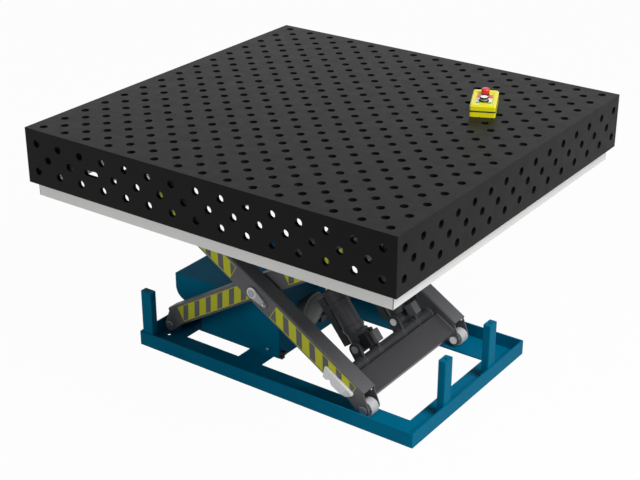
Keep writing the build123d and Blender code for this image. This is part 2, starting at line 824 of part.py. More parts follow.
# Power pack: tray, tank, pump and motor under a folded cover
tray_top = sheet + tray_thickness
pack_top = sheet + pack_height
with BuildPart() as tray:
    with BuildSketch(Plane.XY.offset(sheet)):
        with Locations(((tray_left + cross_plate_x[1]) / 2, 0)):
            RectangleRounded(cross_plate_x[1] - tray_left, 2 * pack_half_width, 8)
    extrude(amount=tray_thickness)
tray.part.label = "pack_tray"
export_step(tray.part, "parts/pack_tray.step")

with BuildPart() as tank:
    with BuildSketch(Plane.XY.offset(tray_top)):
        with Locations((tank_x, 0)):
            RectangleRounded(tank_size[0], tank_size[1], 12)
    extrude(amount=tank_size[2])
    with BuildSketch(Plane.XY.offset(tray_top + tank_size[2])):
        with Locations(filler_place):
            Circle(filler_radius)
    extrude(amount=12)
tank.part.label = "oil_tank"
export_step(tank.part, "parts/oil_tank.step")

pump_length = motor_start - pump_left
pump_x = (motor_start + pump_left) / 2
with BuildPart() as pump:
    with Locations((pump_x, motor_y, motor_z - 10)):
        Box(pump_length, *pump_size)
    with Locations((pump_x, motor_y + (pump_size[0] + valve_size) / 2, motor_z - 10)):
        Box(pump_length - 6, valve_size, valve_size)
pump.part.label = "pump_block"
export_step(pump.part, "parts/pump_block.step")

with BuildPart() as motor:
    with BuildSketch(Plane(origin=(motor_start, motor_y, motor_z), x_dir=(0, 1, 0), z_dir=(1, 0, 0))):
        Circle(motor_radius)
    extrude(amount=motor_end - motor_start)
    fillet(motor.edges().filter_by(GeomType.CIRCLE), 5)
    with Locations((motor_foot_x, motor_y, (motor_z + tray_top) / 2)):
        Box(*motor_foot, motor_z - tray_top)
motor.part.label = "pump_motor"
export_step(motor.part, "parts/pump_motor.step")



def cover_outline(inset, foot):
    """Side outline of the pack cover, set in by the given thickness, down to the given height."""
    left = pack_left + inset
    right = pack_right - inset
    top = pack_top - inset
    step = cover_step + inset
    wrap = cover_wrap_left + inset
    middle = (pack_left + cover_bend, cover_step + cover_bend)
    bend = (cover_bend - inset) * cos(radians(45))
    start = (left, middle[1])
    arc_end = (middle[0], step)
    corner = (cover_wrap_left - cover_bevel, step)
    Polyline((wrap, foot), (right, foot), (right, top), (left, top), start)
    ThreePointArc(start, (middle[0] - bend, middle[1] - bend), arc_end)
    Polyline(arc_end, corner, (wrap, step - cover_bevel), (wrap, foot))


with BuildPart() as cover:
    with BuildSketch(side_plane(0, 0, 0)):
        with BuildLine():
            cover_outline(0, tray_top)
        make_face()
    extrude(amount=pack_half_width, both=True)
    upright = cover.edges().filter_by(Axis.Z).filter_by(lambda e: e.center().X > pack_right - 1)
    fillet(upright, 5)
    with BuildSketch(side_plane(0, 0, 0)):
        with BuildLine():
            cover_outline(pack_sheet, 0)
        make_face()
    extrude(amount=pack_half_width - pack_sheet, both=True, mode=Mode.SUBTRACT)
    with BuildSketch(Plane(origin=(pack_right, motor_y, motor_z), x_dir=(0, 1, 0), z_dir=(1, 0, 0))):
        Circle(motor_radius + 1.5)
    extrude(amount=2 * pack_sheet, both=True, mode=Mode.SUBTRACT)
    with Locations((pack_right + pack_lip / 2, 0, pack_top - pack_sheet / 2)):
        Box(pack_lip, 2 * pack_half_width, pack_sheet)
cover.part.label = "pack_cover"
export_step(cover.part, "parts/pack_cover.step")

with BuildPart() as terminal_box:
    with Locations((pack_right + terminal_size[0] / 2, terminal_y, terminal_z)):
        Box(*terminal_size)
    fillet(terminal_box.edges().filter_by(Axis.X), 3)
terminal_box.part.label = "terminal_box"
export_step(terminal_box.part, "parts/terminal_box.step")

# Safety frame hung on bolts round the underside of the table
flange_middle_x = skirt_length / 2 - skirt_flange / 2
flange_middle_y = skirt_width / 2 - skirt_flange / 2
hanger_x = (-hanger_spread, 0, hanger_spread)
bolt_places = [(x, side * flange_middle_y) for x in hanger_x for side in (-1, 1)]
bolt_places += [(end * flange_middle_x, side * long_rib_y) for end in (-1, 1) for side in (-1, 1)]
with BuildPart() as safety_frame:
    with BuildSketch(Plane.XY.offset(skirt_bottom)):
        Rectangle(skirt_length, skirt_width)
        Rectangle(skirt_length - 2 * skirt_wall, skirt_width - 2 * skirt_wall, mode=Mode.SUBTRACT)
    extrude(amount=skirt_height)
    with BuildSketch(Plane.XY.offset(skirt_top - skirt_wall)):
        Rectangle(skirt_length, skirt_width)
        Rectangle(skirt_length - 2 * skirt_flange, skirt_width - 2 * skirt_flange, mode=Mode.SUBTRACT)
        for place in bolt_places:
            with Locations(place):
                Circle(hanger_radius + 0.5, mode=Mode.SUBTRACT)
    extrude(amount=skirt_wall)
safety_frame.part.label = "safety_frame"
export_step(safety_frame.part, "parts/safety_frame.step")

with BuildPart() as outriggers:
    for side in (-1, 1):
        bar_start = long_rib_y + rib_thickness / 2
        bar_end = flange_middle_y + 10
        for x in hanger_x:
            with Locations((x, side * (bar_start + bar_end) / 2, hanger_top + outrigger_thickness / 2)):
                Box(outrigger_width, bar_end - bar_start, outrigger_thickness)
outriggers.part.label = "skirt_outriggers"
export_step(outriggers.part, "parts/skirt_outriggers.step")

head_top = skirt_top - skirt_wall - hanger_play
with BuildPart() as hangers:
    for place in bolt_places:
        with BuildSketch(Plane.XY.offset(head_top)):
            with Locations(place):
                Circle(hanger_radius)
        extrude(amount=hanger_top - head_top)
        with BuildSketch(Plane.XY.offset(head_top - 5)):
            with Locations(place):
                RegularPolygon(8, 6)
        extrude(amount=5)
hangers.part.label = "skirt_hanger_bolts"
export_step(hangers.part, "parts/skirt_hanger_bolts.step")

# Control box standing on the table top
half_box = (control_height - seam_height) / 2
box_turn = radians(control_yaw)
box_across = (cos(box_turn), sin(box_turn), 0)
box_plane = Plane(origin=(control_x, control_y, table_top_z), x_dir=box_across, z_dir=(0, 0, 1))
stop_y = button_spread
start_y = -button_spread + 11
with BuildPart() as control_base:
    with BuildSketch(box_plane):
        RectangleRounded(control_width, control_length, 6)
    extrude(amount=half_box)
    with BuildSketch(box_plane.offset(half_box)):
        RectangleRounded(control_width - 6, control_length - 6, 4)
    extrude(amount=seam_height)
control_base.part.label = "control_base"
export_step(control_base.part, "parts/control_base.step")

with BuildPart() as control_lid:
    with BuildSketch(box_plane.offset(half_box + seam_height)):
        RectangleRounded(control_width, control_length, 6)
    extrude(amount=half_box)
    fillet(control_lid.edges().group_by(Axis.Z)[-1], 3)
    with BuildSketch(box_plane.offset(control_height)):
        with Locations((0, start_y)):
            Circle(start_radius + start_rim)
    extrude(amount=2.5)
    with BuildSketch(box_plane.offset(half_box + seam_height)):
        with Locations((0, stop_y)):
            Circle(stop_stem + running_fit)
        with Locations((0, start_y)):
            Circle(start_radius + running_fit)
    extrude(amount=control_height, mode=Mode.SUBTRACT)
control_lid.part.label = "control_lid"
export_step(control_lid.part, "parts/control_lid.step")

with BuildPart() as stop_button:
    with BuildSketch(box_plane.offset(control_height - 12)):
        with Locations((0, stop_y)):
            Circle(stop_stem)
    extrude(amount=18)
    with BuildSketch(box_plane.offset(control_height + 5.5)):
        with Locations((0, stop_y)):
            Circle(stop_radius)
    extrude(amount=12)
    fillet(stop_button.edges().group_by(Axis.Z)[-1], 5)
stop_button.part.label = "stop_button"
export_step(stop_button.part, "parts/stop_button.step")

with BuildPart() as start_button:
    with BuildSketch(box_plane.offset(control_height - 12)):
        with Locations((0, start_y)):
            Circle(start_radius)
    extrude(amount=19)
    fillet(start_button.edges().group_by(Axis.Z)[-1], 1.5)
start_button.part.label = "start_button"
export_step(start_button.part, "parts/start_button.step")
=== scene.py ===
"""Studio scene of a height adjustable welding table on a hydraulic scissor lift."""

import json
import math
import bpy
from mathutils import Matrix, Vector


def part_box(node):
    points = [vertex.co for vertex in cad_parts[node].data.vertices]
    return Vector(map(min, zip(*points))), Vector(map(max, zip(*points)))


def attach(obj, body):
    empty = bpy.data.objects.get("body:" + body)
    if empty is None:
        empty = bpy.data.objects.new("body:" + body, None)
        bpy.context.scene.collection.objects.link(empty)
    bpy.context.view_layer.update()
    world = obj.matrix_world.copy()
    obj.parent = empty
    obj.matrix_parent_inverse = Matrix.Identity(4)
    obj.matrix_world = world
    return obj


bl_info = {
    "name": "Height adjustable welding table",
    "version": (1, 0, 0),
    "blender": (4, 5, 0),
    "location": "View3D > Sidebar > Welding Table",
    "description": "Dresses the packed welding table with finishes, fittings and a studio",
    "category": "Object",
}

import bmesh
import bpy
from mathutils import Matrix, Vector

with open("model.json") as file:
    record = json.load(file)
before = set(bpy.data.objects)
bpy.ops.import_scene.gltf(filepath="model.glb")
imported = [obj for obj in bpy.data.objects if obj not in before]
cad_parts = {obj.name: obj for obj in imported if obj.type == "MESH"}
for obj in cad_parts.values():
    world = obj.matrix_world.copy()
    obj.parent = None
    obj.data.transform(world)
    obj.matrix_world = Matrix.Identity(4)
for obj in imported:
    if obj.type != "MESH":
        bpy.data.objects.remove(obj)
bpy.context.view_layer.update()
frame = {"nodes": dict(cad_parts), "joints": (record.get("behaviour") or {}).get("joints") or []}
NODES = frame["nodes"]
JOINTS = {joint["name"]: joint for joint in frame["joints"]}
MM = 0.001


def mm(*values):
    """Numbers or points given in millimetres, as a tuple in metres."""
    return tuple(mm(*value) if isinstance(value, tuple) else value * MM for value in values)


def rotation(degrees, axis):
    """Turn about an axis."""
    return Matrix.Rotation(math.radians(degrees), 4, axis)


def pivot(name):
    """Point of a joint's axis, in metres."""
    return Vector(JOINTS[name]["pos_m"])


# Places taken from the frame
SKIRT_LOW, SKIRT_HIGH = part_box("safety_frame")
COVER_LOW, COVER_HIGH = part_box("pack_cover")
OUTER_LOW, OUTER_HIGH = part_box("outer_arm_front")
INNER_LOW, INNER_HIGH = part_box("inner_arm_front")
LUG_LOW, LUG_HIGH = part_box("base_lugs")
POST_LOW, POST_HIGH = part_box("support_posts")
CENTRE = pivot("arm_cross")
HINGE = pivot("lift")
UPPER_HINGE = pivot("platform_level")
LOWER_ROLLER = pivot("lower_roller_front_turn")
UPPER_ROLLER = pivot("upper_roller_front_turn")
FOOT = pivot("cylinder_front_swing")
PIVOT_OFFSET = 27 * MM
HALF_SPAN = (LOWER_ROLLER - CENTRE).xz.length
TILT = math.asin((CENTRE.z - LOWER_ROLLER.z) / HALF_SPAN) - math.asin(PIVOT_OFFSET / HALF_SPAN)
OUTER_FACE = -OUTER_LOW.y
INNER_FACE = -INNER_LOW.y
LEVEL = Vector((1, 0, 0))

# Sizes repeated from the solids. A spot on an arm is its place along and above the middle line,
# and a side is a distance from the middle of the table.
PANEL_START = 102 * MM
PANEL_ENDS = {"outer_arms": 502 * MM, "inner_arms": 486 * MM}
TIE_SPOT = mm(480, 0)
TIE_RADIUS = 20 * MM
TORSION_SPOT = mm(40, -3)
TORSION_RADIUS = 30 * MM
LEVER_SIDES = mm(93, 105, 149, 161)
CROSS_SPOT = mm(433, -24)
CROSS_RADIUS = 22 * MM
CROSS_SEAMS = mm(((458, 9), (552, 9)), ((458, -31), (552, -31)), ((555, -28), (555, 6)))
BRACKET_SIDES = mm(73, 85, 169, 181)
RIGHT_POST_SEAMS = mm(((-30, -180), (-30, -130)), ((-29, -180), (-1, -180)), ((-29, -130), (-1, -130)))
LEFT_POST_SEAMS = mm(((0, -355), (50, -355)), ((0, -354), (0, -384)), ((50, -354), (50, -384)))
BASE_LUG_SIDES = mm(-226, -246)
PLATFORM_LUG_SIDES = mm(-297, -317)
LOWER_FORK_SIDE = 307 * MM
UPPER_FORK_SIDE = 236 * MM
ROLLER_HALF_WIDTH = 19.2 * MM
KEEPER_THICKNESS = 8 * MM
CYLINDER_SIDE = 127 * MM
COVER_LIP = 22 * MM
BOX_HEIGHT = 40 * MM
BORDER_HEIGHT = 3 * MM

# Weld beads: the swell at each second step, the size at an end, and the part sunk in the steel
RIPPLE = 0.15
BEAD_END = 0.45
BEAD_SINK = 0.3

# Edges sharper than these are shaded sharp and bevelled
SHARP_ANGLE = math.radians(35)
BEVEL_ANGLE = math.radians(40)


def side_frame(origin, along, depth):
    """Frame on the front side: x along, y up from it, z out of the front, at the given depth."""
    x = Vector((along.x, 0, along.z)).normalized()
    z = Vector((0, -1, 0))
    y = z.cross(x)
    place = Vector((origin.x, -depth, origin.z))
    return Matrix.Translation(place) @ Matrix((x, y, z)).transposed().to_4x4()


def outer_frame(depth=OUTER_FACE):
    """Frame of the front outer arm: x runs down the arm."""
    return side_frame(CENTRE, Vector((math.cos(TILT), 0, -math.sin(TILT))), depth)


def inner_frame(depth=INNER_FACE):
    """Frame of the front inner arm: x runs up the arm."""
    return side_frame(CENTRE, Vector((math.cos(TILT), 0, math.sin(TILT))), depth)


def box_frame():
    """Frame of the control box on the table top, x across and y along the box."""
    low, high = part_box("control_base")
    middle = (low + high) / 2
    turn = Matrix.Rotation(bpy.context.scene.control_box_look.turn, 4, "Z")
    return Matrix.Translation((middle.x, middle.y, low.z)) @ turn


# Mesh kit: every shape is made in a local frame and laid in place, in metres


def prism(bm, outline, frame_matrix, bottom, top):
    """Closed solid with the given outline, from bottom to top along the frame's z."""
    lower = [bm.verts.new(frame_matrix @ Vector((x, y, bottom))) for x, y in outline]
    upper = [bm.verts.new(frame_matrix @ Vector((x, y, top))) for x, y in outline]
    bm.faces.new(list(reversed(lower)))
    bm.faces.new(upper)
    for i in range(len(outline)):
        j = (i + 1) % len(outline)
        bm.faces.new((lower[i], lower[j], upper[j], upper[i]))


def turned(bm, profile, frame_matrix, steps=40):
    """Closed turned solid about the frame's z. The profile is a list of (radius, height)."""
    rings = []
    for radius, height in profile:
        ring = []
        for step in range(steps):
            turn = 2 * math.pi * step / steps
            point = Vector((radius * math.cos(turn), radius * math.sin(turn), height))
            ring.append(bm.verts.new(frame_matrix @ point))
        rings.append(ring)
    for low, high in zip(rings, rings[1:]):
        for i in range(steps):
            j = (i + 1) % steps
            bm.faces.new((low[i], low[j], high[j], high[i]))
    bm.faces.new(list(reversed(rings[0])))
    bm.faces.new(rings[-1])


def ring_bead(bm, frame_matrix, radius, bead, steps=60, sides=8):
    """Rippled weld bead round the frame's z."""
    rings = []
    for step in range(steps):
        turn = 2 * math.pi * step / steps
        swell = bead * (1 + RIPPLE * (step % 2))
        outward = Vector((math.cos(turn), math.sin(turn), 0))
        ring = []
        for side in range(sides):
            angle = 2 * math.pi * side / sides
            point = outward * (radius + swell * math.cos(angle))
            point.z = swell * math.sin(angle)
            ring.append(bm.verts.new(frame_matrix @ point))
        rings.append(ring)
    for step in range(steps):
        this = rings[step]
        after = rings[(step + 1) % steps]
        for side in range(sides):
            turned_side = (side + 1) % sides
            bm.faces.new((this[side], after[side], after[turned_side], this[turned_side]))


def line_bead(bm, start, end, bead, pitch=0.006, sides=8):
    """Rippled weld bead along a straight joint."""
    run = end - start
    count = max(4, int(run.length / pitch))
    ahead = run.normalized()
    across = ahead.orthogonal().normalized()
    up = ahead.cross(across)
    rings = []
    for step in range(count + 1):
        swell = bead * (1 + RIPPLE * (step % 2))
        if step in (0, count):
            swell = bead * BEAD_END
        middle = start + run * step / count
        ring = []
        for side in range(sides):
            angle = 2 * math.pi * side / sides
            round_it = across * swell * math.cos(angle) + up * swell * math.sin(angle)
            ring.append(bm.verts.new(middle + round_it))
        rings.append(ring)
    for low, high in zip(rings, rings[1:]):
        for side in range(sides):
            after = (side + 1) % sides
            bm.faces.new((low[side], low[after], high[after], high[side]))
    bm.faces.new(list(reversed(rings[0])))
    bm.faces.new(rings[-1])


def framed(bm, outer, inner, frame_matrix, bottom, top):
    """Closed ring between two outlines that have as many points each."""
    rings = []
    for outline, height in ((outer, bottom), (outer, top), (inner, top), (inner, bottom)):
        rings.append([bm.verts.new(frame_matrix @ Vector((x, y, height))) for x, y in outline])
    for low, high in zip(rings, rings[1:] + rings[:1]):
        for i in range(len(outer)):
            j = (i + 1) % len(outer)
            bm.faces.new((low[i], low[j], high[j], high[i]))


def copy_to_back(bm):
    """Adds the mirror image of the whole mesh on the back side."""
    made = bmesh.ops.duplicate(bm, geom=bm.verts[:] + bm.edges[:] + bm.faces[:])["geom"]
    verts = [item for item in made if isinstance(item, bmesh.types.BMVert)]
    faces = [item for item in made if isinstance(item, bmesh.types.BMFace)]
    for vert in verts:
        vert.co.y = -vert.co.y
    bmesh.ops.reverse_faces(bm, faces=faces)


def rounded(width, depth, corner, middle=(0, 0), steps=5):
    """Outline of a rectangle with round corners."""
    points = []
    for sx, sy, start in ((1, 1, 0), (-1, 1, 90), (-1, -1, 180), (1, -1, 270)):
        cx = middle[0] + sx * (width / 2 - corner)
        cy = middle[1] + sy * (depth / 2 - corner)
        for step in range(steps + 1):
            turn = math.radians(start + 90 * step / steps)
            points.append((cx + corner * math.cos(turn), cy + corner * math.sin(turn)))
    return points


def disc(radius, middle=(0, 0), steps=32):
    """Outline of a circle."""
    turns = [2 * math.pi * step / steps for step in range(steps)]
    return [(middle[0] + radius * math.cos(turn), middle[1] + radius * math.sin(turn)) for turn in turns]


def piece(name, bm, material, body, bevel=0.0):
    """Makes the object, gives it its finish and lets it ride on its body."""
    bmesh.ops.recalc_face_normals(bm, faces=bm.faces)
    mesh = bpy.data.meshes.new(name)
    bm.to_mesh(mesh)
    bm.free()
    mesh.shade_smooth()
    mesh.set_sharp_from_angle(angle=SHARP_ANGLE)
    made = bpy.data.objects.new(name, mesh)
    bpy.context.scene.collection.objects.link(made)
    mesh.materials.append(material)
    if bevel:
        edge = made.modifiers.new("Edge", "BEVEL")
        edge.width = bevel
        edge.segments = 2
        edge.limit_method = "ANGLE"
        edge.angle_limit = BEVEL_ANGLE
    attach(made, body)


# Node kit and the shader groups shared by the finishes. First the middle range of a noise, and
# the range in which a scuff fades in.
NOISE_MIDDLE = (0.3, 0.7)
SCUFF_EDGE = (0.62, 0.74)
# A scuffed colour is this much of the colour plus this much white
SCUFF_GAIN = 1.3
SCUFF_WHITE = 0.25


def feed(tree, socket, value):
    """Links a socket to an input, or sets a plain value on it."""
    if isinstance(value, bpy.types.NodeSocket):
        tree.links.new(value, socket)
    else:
        socket.default_value = value


def math_node(tree, operation, *values, clamp=False):
    """Result of a math node fed with sockets or numbers."""
    node = tree.nodes.new("ShaderNodeMath")
    node.operation = operation
    node.use_clamp = clamp
    for socket, value in zip(node.inputs, values):
        feed(tree, socket, value)
    return node.outputs[0]


def mix_node(tree, blend, factor, first, second):
    """Result of a colour mix fed with sockets or values."""
    node = tree.nodes.new("ShaderNodeMix")
    node.data_type = "RGBA"
    node.blend_type = blend
    for label, value in (("Factor", factor), ("A", first), ("B", second)):
        feed(tree, node.inputs[label], value)
    return node.outputs["Result"]


def map_range(tree, value, from_min, from_max, to_min, to_max):
    """Result of a range node that maps one range of a value to another."""
    node = tree.nodes.new("ShaderNodeMapRange")
    feed(tree, node.inputs["Value"], value)
    node.inputs["From Min"].default_value = from_min
    node.inputs["From Max"].default_value = from_max
    node.inputs["To Min"].default_value = to_min
    node.inputs["To Max"].default_value = to_max
    return node.outputs["Result"]


def noise(tree, scale, detail, roughness=0.5, stretch=None):
    """Noise in the object's own metres, stretched along an axis where asked."""
    place = tree.nodes.new("ShaderNodeTexCoord").outputs["Object"]
    if stretch:
        mapping = tree.nodes.new("ShaderNodeMapping")
        feed(tree, mapping.inputs["Vector"], place)
        mapping.inputs["Scale"].default_value = stretch
        place = mapping.outputs["Vector"]
    texture = tree.nodes.new("ShaderNodeTexNoise")
    feed(tree, texture.inputs["Vector"], place)
    feed(tree, texture.inputs["Scale"], scale)
    texture.inputs["Detail"].default_value = detail
    texture.inputs["Roughness"].default_value = roughness
    return texture.outputs["Fac"]


def around_one(tree, value, strength):
    """Factor near 1 that follows the middle range of a noise, as strongly as asked."""
    return math_node(tree, "MULTIPLY_ADD", map_range(tree, value, *NOISE_MIDDLE, -1.0, 1.0), strength, 1.0)


def group_of(name, inputs, outputs):
    """Empty shader group with named value inputs and outputs."""
    tree = bpy.data.node_groups.new(name, "ShaderNodeTree")
    for label, default in inputs:
        socket = tree.interface.new_socket(name=label, in_out="INPUT", socket_type="NodeSocketFloat")
        socket.default_value = default
    for label in outputs:
        tree.interface.new_socket(name=label, in_out="OUTPUT", socket_type="NodeSocketFloat")
    return tree, tree.nodes.new("NodeGroupInput").outputs, tree.nodes.new("NodeGroupOutput").inputs


def make_mottle():
    """Slow cloudy variation of tone and gloss, as on rolled or painted steel."""
    tree, given, result = group_of("Mottle", [("Strength", 0.1)], ["Tone", "Gloss"])
    for label, scale in (("Tone", 9.0), ("Gloss", 23.0)):
        feed(tree, result[label], around_one(tree, noise(tree, scale, 4.0), given["Strength"]))
    return tree


def make_grain():
    """Fine surface grain: paint peel, moulded texture or blasted metal."""
    tree, given, result = group_of("Grain", [("Scale", 900.0), ("Depth", 1.0)], ["Height"])
    speck = noise(tree, given["Scale"], 2.0)
    feed(tree, result["Height"], math_node(tree, "MULTIPLY", speck, given["Depth"]))
    return tree


def make_brushing():
    """Long fine scratches along X, as on ground plate and drawn section."""
    tree, given, result = group_of("Brushing", [("Strength", 0.1)], ["Tone"])
    scratches = noise(tree, 60.0, 6.0, stretch=(1.0, 22.0, 22.0))
    feed(tree, result["Tone"], around_one(tree, scratches, given["Strength"]))
    return tree


def make_scuffs():
    """Sparse pale scuffs and dust specks left by handling."""
    tree, given, result = group_of("Scuffs", [("Amount", 0.2)], ["Mask"])
    edge = map_range(tree, noise(tree, 14.0, 8.0, 0.7), *SCUFF_EDGE, 0.0, 1.0)
    feed(tree, result["Mask"], math_node(tree, "MULTIPLY", edge, given["Amount"]))
    return tree


SHADER_GROUPS = {
    "Mottle": make_mottle,
    "Grain": make_grain,
    "Brushing": make_brushing,
    "Scuffs": make_scuffs,
}


def group_node(tree, name, **values):
    """Outputs of a shared shader group placed in a material with its own values."""
    node = tree.nodes.new("ShaderNodeGroup")
    node.node_tree = bpy.data.node_groups.get(name) or SHADER_GROUPS[name]()
    for label, value in values.items():
        node.inputs[label].default_value = value
    return node.outputs


def finish(
    name,
    colour,
    rough,
    metal=0.0,
    mottle=0.12,
    scuffs=0.05,
    grain=900.0,
    bump=0.05,
    brushed=0.0,
    coat=0.0,
    shine=0.5,
):
    """Finish with a plain colour broken up by cloud, grain, brushing and scuffs."""
    found = bpy.data.materials.get(name)
    if found:
        return found
    material = bpy.data.materials.new(name)
    material.use_nodes = True
    tree = material.node_tree
    shader = tree.nodes["Principled BSDF"]
    shader.inputs["Metallic"].default_value = metal
    shader.inputs["Specular IOR Level"].default_value = shine
    shader.inputs["Coat Weight"].default_value = coat
    shader.inputs["Coat Roughness"].default_value = 0.15

    cloud = group_node(tree, "Mottle", Strength=mottle)
    shade = mix_node(tree, "MULTIPLY", 1.0, (*colour, 1.0), cloud["Tone"])
    if brushed:
        scratches = group_node(tree, "Brushing", Strength=brushed)
        shade = mix_node(tree, "MULTIPLY", 1.0, shade, scratches["Tone"])
    marks = group_node(tree, "Scuffs", Amount=scuffs)
    pale = [min(1.0, SCUFF_WHITE + SCUFF_GAIN * part) for part in colour]
    feed(tree, shader.inputs["Base Color"], mix_node(tree, "MIX", marks["Mask"], shade, (*pale, 1.0)))
    gloss = math_node(tree, "MULTIPLY", cloud["Gloss"], rough, clamp=True)
    feed(tree, shader.inputs["Roughness"], gloss)

    relief = tree.nodes.new("ShaderNodeBump")
    relief.inputs["Strength"].default_value = bump
    relief.inputs["Distance"].default_value = MM
    peel = group_node(tree, "Grain", Scale=grain, Depth=1.0)
    feed(tree, relief.inputs["Height"], peel["Height"])
    feed(tree, shader.inputs["Normal"], relief.outputs["Normal"])
    return material


def linear(red, green, blue):
    """Colour seen on a screen, 0 to 255, as a linear colour."""
    out = []
    for value in (red, green, blue):
        part = value / 255
        out.append(part / 12.92 if part <= 0.04045 else ((part + 0.055) / 1.055) ** 2.4)
    return tuple(out)


# Surfaces that several finishes share
POWDER_COAT = {"mottle": 0.06, "scuffs": 0.02, "grain": 1100.0, "bump": 0.10}
CLEAN_MOULDING = {"mottle": 0.03, "scuffs": 0.0, "grain": 1400.0, "bump": 0.02}


def top_steel():
    """Oiled dark plate of the table's top and walls."""
    look = bpy.context.scene.table_look
    surface = {"mottle": 0.10, "scuffs": 0.01, "grain": 700.0, "bump": 0.04, "brushed": 0.08}
    return finish("Oiled dark plate", look.plate[:], look.plate_roughness, shine=0.065, **surface)


def teal_paint():
    """Powder coat of the base, platform and pack cover."""
    colour = bpy.context.scene.lift_look.paint[:]
    surface = {**POWDER_COAT, "mottle": 0.05, "scuffs": 0.01}
    return finish("Teal powder coat", colour, 0.42, shine=0.02, **surface)


def graphite_paint():
    """Powder coat of the arms, torsion tube and valve blocks."""
    colour = bpy.context.scene.lift_look.arms[:]
    return finish("Graphite powder coat", colour, 0.48, shine=0.10, **POWDER_COAT)


def dark_paint_and_shade():
    """Darker powder coat of the cross box and cylinders. Part of the darkness is the parts' own paint, and
    part is painted shade for the shade under the table.
    """
    return finish("Dark powder coat and painted shade", linear(70, 70, 72), 0.42, shine=0.15, **POWDER_COAT)


def stripe_yellow():
    """Yellow stripe film."""
    colour = bpy.context.scene.lift_look.stripes[:]
    surface = {"mottle": 0.05, "scuffs": 0.03, "grain": 500.0, "bump": 0.03}
    return finish("Yellow stripe film", colour, 0.45, shine=0.2, **surface)


def silver_section():
    """Anodised section of the safety frame."""
    surface = {"mottle": 0.03, "scuffs": 0.02, "grain": 1500.0, "bump": 0.03, "brushed": 0.04}
    return finish("Anodised section", linear(214, 214, 212), 0.38, metal=0.15, **surface)


def zinc_steel():
    """Zinc plated pins, bolts and rings."""
    surface = {"mottle": 0.08, "scuffs": 0.03, "bump": 0.04, "brushed": 0.05}
    return finish("Zinc plate", linear(186, 187, 190), 0.32, metal=0.7, **surface)


def keeper_steel():
    """Dull plated steel of the pin keepers."""
    surface = {"mottle": 0.06, "scuffs": 0.03, "bump": 0.04, "brushed": 0.05}
    return finish("Dull plated steel", linear(150, 152, 152), 0.42, metal=0.5, **surface)


def chrome_rod():
    """Hard chrome of the piston rods."""
    surface = {"mottle": 0.04, "scuffs": 0.01, "grain": 1500.0, "bump": 0.01}
    return finish("Hard chrome", linear(205, 207, 210), 0.10, metal=1.0, **surface)


def bush_bronze():
    """Bronze of the middle bushes."""
    return finish("Bearing bronze", linear(170, 128, 70), 0.35, metal=0.9, mottle=0.10, scuffs=0.02)


def roller_nylon():
    """Pale cast nylon of the rollers."""
    surface = {"mottle": 0.05, "scuffs": 0.03, "grain": 600.0, "bump": 0.06}
    return finish("Cast nylon", linear(196, 196, 198), 0.45, **surface)


def prop_white():
    """Pale paint of the service props."""
    return finish("Pale prop paint", linear(238, 238, 240), 0.4, mottle=0.05, scuffs=0.03)


def motor_paint():
    """Dark enamel of the motor."""
    surface = {"mottle": 0.08, "scuffs": 0.03, "grain": 600.0, "bump": 0.10}
    return finish("Motor enamel", linear(78, 80, 80), 0.5, **surface)


def black_moulding():
    """Black moulded plastic of seals, coils, plugs and marks."""
    surface = {"mottle": 0.06, "scuffs": 0.02, "grain": 1600.0, "bump": 0.10}
    return finish("Black moulding", linear(22, 22, 23), 0.5, shine=0.2, **surface)


def box_yellow():
    """Yellow moulding of the control box."""
    colour = bpy.context.scene.control_box_look.shell[:]
    surface = {**CLEAN_MOULDING, "scuffs": 0.01, "bump": 0.06}
    return finish("Yellow moulding", colour, 0.35, coat=0.1, **surface)


def gasket_rubber():
    """Dark olive rubber of the control box's seam."""
    surface = {"mottle": 0.05, "scuffs": 0.01, "grain": 1400.0, "bump": 0.06}
    return finish("Gasket rubber", linear(66, 64, 40), 0.6, shine=0.1, **surface)


def button_red():
    """Red moulding of the stop button and pads."""
    return finish("Red moulding", linear(205, 20, 18), 0.28, coat=0.3, **CLEAN_MOULDING)


def button_white():
    """White moulding of the start button and pads."""
    surface = {**CLEAN_MOULDING, "mottle": 0.02}
    return finish("White moulding", linear(232, 232, 230), 0.3, coat=0.2, **surface)


def pad_green():
    """Green moulding of a small pad."""
    return finish("Green moulding", linear(40, 130, 90), 0.35, **CLEAN_MOULDING)


def pad_grey():
    """Grey moulding of a small pad and the start button's sleeve."""
    return finish("Grey moulding", linear(120, 124, 122), 0.4, **CLEAN_MOULDING)


def tank_plastic():
    """Smoked plastic of the oil tank."""
    return finish("Tank plastic", linear(60, 62, 62), 0.4, mottle=0.06, scuffs=0.02, bump=0.06)


# The starts of the solids' names that take each finish
NODE_FINISHES = {
    top_steel: ("table_",),
    teal_paint: ("base_", "support_posts", "platform_", "pack_tray", "pack_cover"),
    graphite_paint: ("outer_arm", "inner_arm", "torsion_tube", "lift_levers"),
    # The cross box and cylinders take a finish darkened partly by their own paint and partly by painted
    # shade for the shade under the table
    dark_paint_and_shade: ("cross_box", "cylinder_foot_bracket", "cylinder_barrel", "cylinder_guard", "rod_eye"),
    zinc_steel: (
        "cylinder_foot_pins",
        "lever_pins",
        "centre_pins",
        "prop_bolts",
        "lower_hinge_pins",
        "upper_hinge_pins",
        "lower_roller_axles",
        "upper_roller_axles",
        "skirt_",
        "pump_block",
    ),
    chrome_rod: ("cylinder_rod",),
    bush_bronze: ("centre_bushes",),
    keeper_steel: ("pin_keepers",),
    prop_white: ("service_prop",),
    roller_nylon: ("lower_roller", "upper_roller"),
    silver_section: ("safety_frame",),
    tank_plastic: ("oil_tank",),
    motor_paint: ("pump_motor",),
    black_moulding: ("terminal_box",),
    box_yellow: ("control_base", "control_lid"),
    button_red: ("stop_button",),
    button_white: ("start_button",),
}


def finish_of(node):
    """Finish that goes with the longest start of the node's name."""
    finishes = {start: made for made, starts in NODE_FINISHES.items() for start in starts}
    longest = max((start for start in finishes if node.startswith(start)), key=len)
    return finishes[longest]()


# Sizes and colours that a user may change


